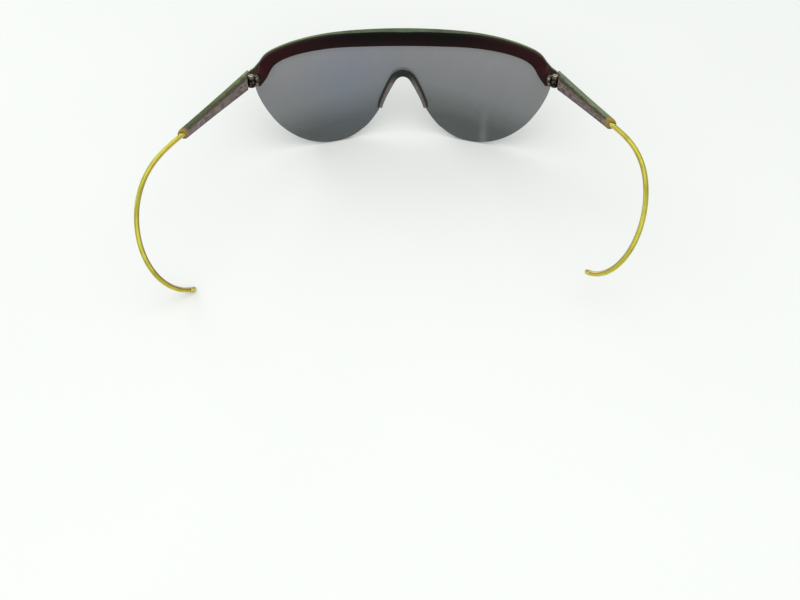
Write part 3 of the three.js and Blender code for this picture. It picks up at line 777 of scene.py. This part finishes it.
def on_rim(edge):
    """True for the rim's own edges, and not for the short ones that cross it."""
    a, b = [v.co for v in edge.verts]
    depth = [math.hypot(p.x, p.y + LENS_RADIUS) for p in (a, b)]
    return abs(depth[0] - depth[1]) < LENS_THICK / 2


def bead_section(cover):
    """A U over the lens's edge: rows of distance from the edge, radius, and edge rounding."""
    outer, inner = GROOVE_FRONT + BEAD_WALL, GROOVE_BACK - BEAD_WALL
    return rounded([
        (-BEAD_WEB, inner, 0.7), (0.3 * cover, inner, 0.05), (cover, inner, 0.5),
        (cover, GROOVE_BACK, 0.15), (-GAP, GROOVE_BACK, 0.1), (-GAP, GROOVE_FRONT, 0.1),
        (cover, GROOVE_FRONT, 0.15), (cover, outer, 0.5), (-BEAD_WEB, outer, 0.7),
    ], 5)


def nose_bead():
    """A channel along the edge of the lens's notch, with a deeper cover at the apex."""
    curve = np.array([p for p in mirrored(LENS_LOWER, 10) if p[1] > BEAD_LOW and abs(p[0]) < NOTCH_HALF])
    along = np.gradient(curve, axis=0)
    along /= np.hypot(*along.T)[:, None]
    apex = curve[:, 1].max()
    rings, marks = [], {"rubbed_and_lit": []}
    for point, (tx, tz) in zip(curve, along):
        rise = (point[1] - BEAD_LOW) / (apex - BEAD_LOW)
        cover = BEAD_COVER_END + (BEAD_COVER_APEX - BEAD_COVER_END) * rise
        section = bead_section(cover)
        ring = []
        for reach, radius, _ in section:
            x, z = point[0] - tz * reach, point[1] + tx * reach
            ring.append((x, wall_y(radius, x), z))
        rings.append(ring)
        leg = smooth_step((1 - rise) / BEAD_LEG)
        marks["rubbed_and_lit"].append([leg * smooth_step((0.55 * cover - reach) / 0.6) for reach, _, _ in section])
    bm = bmesh.new()
    loft(bm, rings, marks)
    soften_caps(bm, BEAD_END_EDGE)
    piece("nose_bead_channel", bm, FRONT, bead_rubber(), "front", "nose_bead")


# ---- the hinges ----

UP = straight((0, 0, 0), (0, 0, 1), (1, 0, 0))


def knuckle(place):
    """One knuckle on the hinge's axis: place is -1, 0 or 1, from the lowest up."""
    radius, half = KNUCKLE["radius"], KNUCKLE["height"] / 2
    edge = 0.15
    profile = [(-half, radius - edge), (edge - half, radius), (half - edge, radius), (half, radius - edge)]
    return turned([(place * KNUCKLE["pitch"] + s, r) for s, r in profile], UP)


def hinge_bore():
    reach = 5
    return turned([(-reach, KNUCKLE["bore"]), (reach, KNUCKLE["bore"])], UP)


def light_tops(bm, level):
    """Marks what lies above the level for a painted highlight, as lit from above."""
    mark(bm, "rubbed_and_lit", lambda p: smooth_step((p.z - level) / 0.1))


def front_leaf(word, material):
    """A plate against the brow bar's lug with two knuckles, which leave room for the middle one."""
    length, half, chamfer = FRONT_LEAF["length"], FRONT_LEAF["half"], FRONT_LEAF["chamfer"]
    low, high = KNUCKLE["radius"] - LEAF_THICK, KNUCKLE["radius"]
    outline = rounded([
        (0, -half, LEAF_EDGE), (chamfer - length, -half, LEAF_CORNER),
        (-length, chamfer - half, LEAF_CORNER), (-length, half, LEAF_CORNER), (0, half, LEAF_EDGE),
    ])
    plate = prism(outline, low, high, lambda x, z, y: (x, y, z))
    soften(plate, LEAF_EDGE)
    relief = KNUCKLE["height"] / 2 + GAP
    room = block((-SEAT, -SEAT, -relief), (SEAT, SEAT, relief))
    bm = combine(plate, [("DIFFERENCE", room), ("UNION", knuckle(-1)), ("UNION", knuckle(1)),
                         ("DIFFERENCE", hinge_bore())])
    light_tops(bm, KNUCKLE["pitch"] + KNUCKLE["height"] / 2 - 0.2)
    piece(f"front_leaf_{word}", bm, hinge_frame(word), material, "front", f"hinge_front_leaf_{word}")


def temple_leaf(word, material):
    """A strap from the middle knuckle to a plate that runs back along the middle of the bar."""
    length, half, strap = TEMPLE_LEAF["length"], TEMPLE_LEAF["half"], TEMPLE_LEAF["strap"]
    thin = LEAF_THICK / 2
    outline = rounded([
        (thin, -half, LEAF_EDGE), (-length, -half, LEAF_CORNER), (-length, half, LEAF_CORNER),
        (thin, half, LEAF_EDGE),
    ])
    plate = prism(outline, BAR_CENTRE - thin, BAR_CENTRE + thin, lambda y, z, x: (x, y, z))
    soften(plate, LEAF_EDGE)
    bm = combine(plate, [("UNION", block((0, -thin, -strap), (BAR_CENTRE, thin, strap))),
                         ("UNION", knuckle(0)), ("DIFFERENCE", hinge_bore())])
    node = f"hinge_temple_leaf_{word}"
    piece(f"temple_leaf_{word}", bm, temple_frame(word), material, f"{word}_temple", node)


def hinge_screw(word, material):
    """A plain shank with a slotted, slightly domed head on top."""
    low, seat, shank, head = [SCREW[key] for key in ("low", "seat", "shank", "head")]
    profile = [(low, shank - 0.15), (low + 0.15, shank), (seat, shank), (seat, head), (seat + 0.2, head),
               (seat + 0.36, head - 0.1), (seat + 0.45, head - 0.4)]
    slot = block((-2, -SCREW["slot"], seat + 0.15), (2, SCREW["slot"], seat + 2))
    bm = combine(turned(profile, UP), [("DIFFERENCE", slot)])
    light_tops(bm, seat)
    turn = Matrix.Rotation(math.radians(SCREW["turn"]), 4, "Z")
    piece(f"screw_{word}", bm, hinge_frame(word) @ turn, material, "front", f"hinge_screw_{word}")


def rivet_profile(length):
    """From one domed head to the other, with the shank starting at 0."""
    return [*RIVET_HEAD, *[(length - s, r) for s, r in reversed(RIVET_HEAD)]]


def rivets(word, material):
    """Through the leaf and the lug, from one face to the other."""
    seat = KNUCKLE["radius"] - LEAF_THICK - GAP
    face = wall_y(BROW_FRONT, HINGE.x + FRONT_RIVET_X) - HINGE.y + 2 * GAP
    for index, z in enumerate(FRONT_RIVET_Z, 1):
        line = straight((FRONT_RIVET_X, seat, z), (0, 1, 0), (1, 0, 0))
        bm = turned(rivet_profile(face - seat), line, 28)
        node = f"front_rivet_{word}_{index}"
        piece(f"rivet_{word}_{index}", bm, hinge_frame(word), material, "front", node)


def pin_line(y):
    return straight((BAR_CENTRE, y, 0), (1, 0, 0), (0, 0, 1))


def pins(word, material):
    """Cross pins through the bar and the leaf in it, peened to a slight dome at both ends."""
    radius, end = PIN["radius"], BAR_HALF - PIN["recess"]
    half = [(-end, 0.15), (0.04 - end, 0.36), (0.12 - end, radius)]
    profile = [*half, *[(-s, r) for s, r in reversed(half)]]
    for index, y in enumerate(PIN["places"], 1):
        bm = turned(profile, pin_line(y), 28)
        node = f"temple_pin_{word}_{index}"
        piece(f"pin_{word}_{index}", bm, temple_frame(word), material, f"{word}_temple", node)


# ---- the temple bars ----

def bar_half_height(y):
    """Half the bar's height: a parabola through BAR_SIDE's ends, and pinched past the last of them."""
    (y0, z0), (y1, z1), (y2, z2) = BAR_SIDE
    a, b, c = y0 - 2 * y1 + y2, 2 * (y1 - y0), y0 - y
    t = (-b - math.sqrt(b * b - 4 * a * c)) / (2 * a)
    flat = (1 - t) ** 2 * z0 + 2 * t * (1 - t) * z1 + t * t * z2 + BAR_EDGE
    return flat - BAR_PINCH * max(y2 - y, 0) ** 2


def bar_front(x):
    """The y of the bar's slanted butt face."""
    return BUTT_POINT[1] + (x + BAR_CENTRE - BUTT_POINT[0]) * BUTT_SLOPE


def bar_rear(x):
    """The y of the bar's slanted mouth."""
    return MOUTH_Y - x * MOUTH_SLOPE


def bar_ring(share, inset=0.0, shift=0.0):
    """One ring round the bar, from its butt face at share 0 to its slanted mouth at share 1. Its corners
    are rounded on a section 3 mm to each side of the middle, and then moved to the bar's own height."""
    half = 3
    corners = [(-BAR_HALF, -half), (BAR_HALF, -half), (BAR_HALF, half), (-BAR_HALF, half)]
    ring = []
    for x, z, _ in rounded([(*corner, BAR_ROUND) for corner in corners], 6):
        y = bar_front(x) + (bar_rear(x) - bar_front(x)) * share + shift
        height = bar_half_height(y)
        z += math.copysign(1, z) * (height - half)
        ring.append((x * (1 - inset / BAR_HALF), y, z * (1 - inset / height)))
    return ring


def mouth_ring(radius, y=None):
    """A round ring inside the mouth, on the mouth's slant or, given a y, square to the bar."""
    ring = []
    for x, _, z in bar_ring(1):
        reach = radius / math.hypot(x, z)
        level = bar_rear(x * reach) + 0.1 if y is None else y
        ring.append((x * reach, level, z * reach))
    return ring


def bar_cuts():
    """The corner for the knuckles, the slots for the leaf and its strap, and the holes for the pins."""
    wide, tall = LEAF_THICK / 2 + 0.1, TEMPLE_LEAF["half"] + 0.1
    strap = TEMPLE_LEAF["strap"] + 0.1
    cuts = [
        block((-10, -CORNER["back"], -10), (CORNER["wide"], 10, 10)),
        block((BAR_CENTRE - wide, -TEMPLE_LEAF["length"] - 0.1, -tall), (BAR_CENTRE + wide, 6, tall)),
        block((0, -wide, -strap), (BAR_CENTRE, 6, strap)),
    ]
    for y in PIN["places"]:
        cuts.append(turned([(-3, PIN["radius"] + 0.03), (3, PIN["radius"] + 0.03)], pin_line(y), 28))
    return [("DIFFERENCE", cut) for cut in cuts]


def mark_bar(bm):
    """Values for the bar's material, taken in the bar's own frame."""
    mark(bm, "along", lambda p: -p.y / BAR_LENGTH)
    mark(bm, "across", lambda p: p.z / bar_half_height(max(p.y, -BAR_LENGTH)))
    mark(bm, "out", lambda p: p.x / BAR_HALF)
    mark(bm, "mouth", lambda p: float(p.y < bar_rear(p.x) + 0.05 or inside_mouth(p)))
    mark(bm, "cut", lambda p: float(p.y > -CORNER["back"] - 0.1 and abs(p.x) < BAR_HALF - 0.02))


def inside_mouth(p):
    return p.y < MOUTH_INSIDE["y"] and math.hypot(p.x, p.z) < MOUTH_INSIDE["radius"]


def temple_bar(word):
    """One skin from the butt face back, round the mouth's lip and into its socket, with the cuts made."""
    outside = [bar_ring(0, 0.25), bar_ring(0, 0.07, -0.08), bar_ring(0, 0, -0.28)]
    outside += [bar_ring(share) for share in np.linspace(0.02, 0.99, 90)]
    outside += [bar_ring(1, 0, BAR_LIP), bar_ring(1, 0.03), bar_ring(1, BAR_LIP)]
    inside = [mouth_ring(SOCKET["radius"] + 0.06), mouth_ring(SOCKET["radius"], SOCKET["y"] + 0.2)]
    inside += [mouth_ring(SOCKET["radius"], SOCKET["y"]), mouth_ring(CORE_BORE["radius"], SOCKET["y"])]
    inside += [mouth_ring(CORE_BORE["radius"], CORE_BORE["y"])]
    bm = bmesh.new()
    loft(bm, outside + inside)
    bmesh.ops.recalc_face_normals(bm, faces=bm.faces)
    bm.transform(bar_frame(word))
    bm = combine(bm, bar_cuts(), merge_flat=False)
    bm.transform(bar_frame(word).inverted())
    mark_bar(bm)
    piece(f"bar_{word}", bm, temple_frame(word) @ bar_frame(word), temple_plastic(word), f"{word}_temple",
          f"temple_bar_{word}")


# ---- the ear hooks ----

def hook_line(word):
    """The hook's centre line: a point and two directions across it, at a distance s from the bar's end.
    Its curvature grows evenly over HOOK_EASE and then stays that of a circle."""
    bend, roll = SET[word]["bend"], math.radians(SET[word]["roll"])
    places = np.arange(0, HOOK_LENGTH + 1, HOOK_STEP)

    def heading(s):
        return np.where(s < HOOK_EASE, s * s / (2 * HOOK_EASE * bend), (s - HOOK_EASE / 2) / bend)

    middle = heading(places + HOOK_STEP / 2)
    along, drop = [np.concatenate([[0], np.cumsum(f(middle) * HOOK_STEP)])[:-1] for f in (np.cos, np.sin)]
    back, down = Vector((0, -1, 0)), Vector((-math.sin(roll), 0, -math.cos(roll)))
    flat = back.cross(down)

    def at(s):
        turn = float(heading(max(s, 0)))
        behind = min(s, 0) + np.interp(s, places, along)
        point = Vector((0, -BAR_LENGTH, 0)) + back * behind + down * np.interp(s, places, drop)
        return point, down * math.cos(turn) - back * math.sin(turn), flat

    return at


def hook_piece(name, word, bm, material, node):
    place = temple_frame(word) @ bar_frame(word)
    piece(f"{name}_{word}", bm, place, material, f"{word}_temple", f"{node}_{word}")


def coil(word, material):
    """Close-wound wire: each turn lies against the next."""
    line = hook_line(word)
    pitch = 2 * WIRE_RADIUS
    winding = COIL_RADIUS - WIRE_RADIUS
    around = [2 * math.pi * k / WIRE_SIDES for k in range(WIRE_SIDES)]
    count = int((TIP_START - COIL_START - pitch) / pitch * COIL_STEPS)
    rings, marks = [], {"inside": [], "dull_and_dark_reflection": []}
    for i in range(count + 1):
        s = COIL_START + WIRE_RADIUS + i / COIL_STEPS * pitch
        point, u, v = line(s)
        angle = SIDES[word] * 2 * math.pi * i / COIL_STEPS
        out = u * math.cos(angle) + v * math.sin(angle)
        ahead = u.cross(v)
        middle = point + out * winding
        rings.append([middle + (out * math.cos(a) + ahead * math.sin(a)) * WIRE_RADIUS for a in around])
        marks["inside"].append([math.cos(angle)] * len(around))
        # Where along the hook the painted dark reflection shows.
        marks["dull_and_dark_reflection"].append([smooth_step((s / HOOK_LENGTH - 0.15) / 0.35)] * len(around))
    bm = bmesh.new()
    loft(bm, rings, marks)
    hook_piece("coil", word, bm, material, "cable_coil")


def core(word, material):
    """The wire inside the coil, from inside the bar to inside the tip."""
    stations = np.linspace(CORE_START, TIP_START + TIP["depth"] - GAP, 160)
    bm = turned([(s, CORE_RADIUS) for s in stations], hook_line(word), 16)
    hook_piece("core", word, bm, material, "cable_core")


def collar(word, material):
    """The ferrule: a crimped tube that the coil starts from."""
    hook_piece("collar", word, turned(COLLAR, hook_line(word), looped=True), material, "ferrule")


def tip(word, material):
    """A cap on the coil's end, with a groove behind its mouth and a rounded nose."""
    radius, bore, depth, nose = [TIP[key] for key in ("radius", "bore", "depth", "nose")]
    low = radius - TIP["groove"]
    rows = [(depth, 0.3), (depth, bore), (0, bore), (0, 0.98), (0.08, radius), (0.5, radius), (0.58, low),
            (0.7, low), (0.78, radius)]
    for angle in np.radians(np.linspace(0, 90, 7)):
        rows.append((TIP["length"] - nose + nose * math.sin(angle), radius - nose * (1 - math.cos(angle))))
    bm = turned([(TIP_START + s, r) for s, r in rows], hook_line(word))
    hook_piece("tip", word, bm, material, "cable_tip")


# ---- the stage ----

def camera():
    data = bpy.data.cameras.new("camera")
    data.lens = CAMERA["lens"]
    data.sensor_width = CAMERA["sensor"]
    obj = bpy.data.objects.new("camera", data)
    obj.location = CAMERA["place"]
    obj.rotation_euler = (math.radians(CAMERA["pitch"]), 0, 0)
    bpy.context.scene.collection.objects.link(obj)
    bpy.context.scene.camera = obj


def soft_light(name, size, power, place, aim):
    data = bpy.data.lights.new(name, "AREA")
    data.shape = "RECTANGLE"
    data.size, data.size_y = size
    data.energy = power
    obj = bpy.data.objects.new(name, data)
    obj.location = place
    obj.rotation_euler = (Vector(aim) - Vector(place)).to_track_quat("-Z", "Y").to_euler()
    bpy.context.scene.collection.objects.link(obj)


def sky():
    world = bpy.data.worlds.new("studio")
    world.use_nodes = True
    background = world.node_tree.nodes["Background"]
    background.inputs["Color"].default_value = SKY_COLOUR
    background.inputs["Strength"].default_value = SKY_STRENGTH
    bpy.context.scene.world = world


def floor():
    """A pale matt floor, very faintly uneven in tone."""
    bm = bmesh.new()
    bmesh.ops.create_grid(bm, x_segments=2, y_segments=2, size=FLOOR_SIZE)
    mesh = mesh_of(bm, "floor")
    material, tree, shader = started("floor")
    grey = noise(tree, place_of(tree), 0.004, 3)
    shade = mixed(tree, spread(tree, grey, 0.3, 0.7), (0.77, 0.78, 0.765), (0.79, 0.8, 0.785))
    feed(tree, shader, "Base Color", shade)
    shader.inputs["Roughness"].default_value = 0.8
    shader.inputs["Specular IOR Level"].default_value = 0.1
    mesh.materials.append(material)
    obj = bpy.data.objects.new("floor", mesh)
    bpy.context.scene.collection.objects.link(obj)


def studio():
    bpy.context.scene.view_settings.view_transform = "Standard"
    sky()
    for light in LIGHTS:
        soft_light(*light)
    floor()


def glasses():
    nickel = metal("hinge_metal", srgb(118, 114, 98), srgb(34, 31, 27), 0.36, (0.2, 0.55))
    steel = metal("fastener_steel", srgb(186, 184, 166), srgb(70, 66, 56), 0.32, (0.3, 0.55))
    gold = gold_plating()
    wire = metal("spring_wire", srgb(176, 174, 168), srgb(120, 118, 110), 0.35, (0.4, 0.6))
    brow_bar()
    lens_sheet()
    nose_bead()
    for word in SIDES:
        front_leaf(word, nickel)
        temple_leaf(word, nickel)
        hinge_screw(word, steel)
        rivets(word, steel)
        pins(word, steel)
        temple_bar(word)
        collar(word, gold)
        coil(word, gold)
        core(word, wire)
        tip(word, gold)


camera()
studio()
glasses()
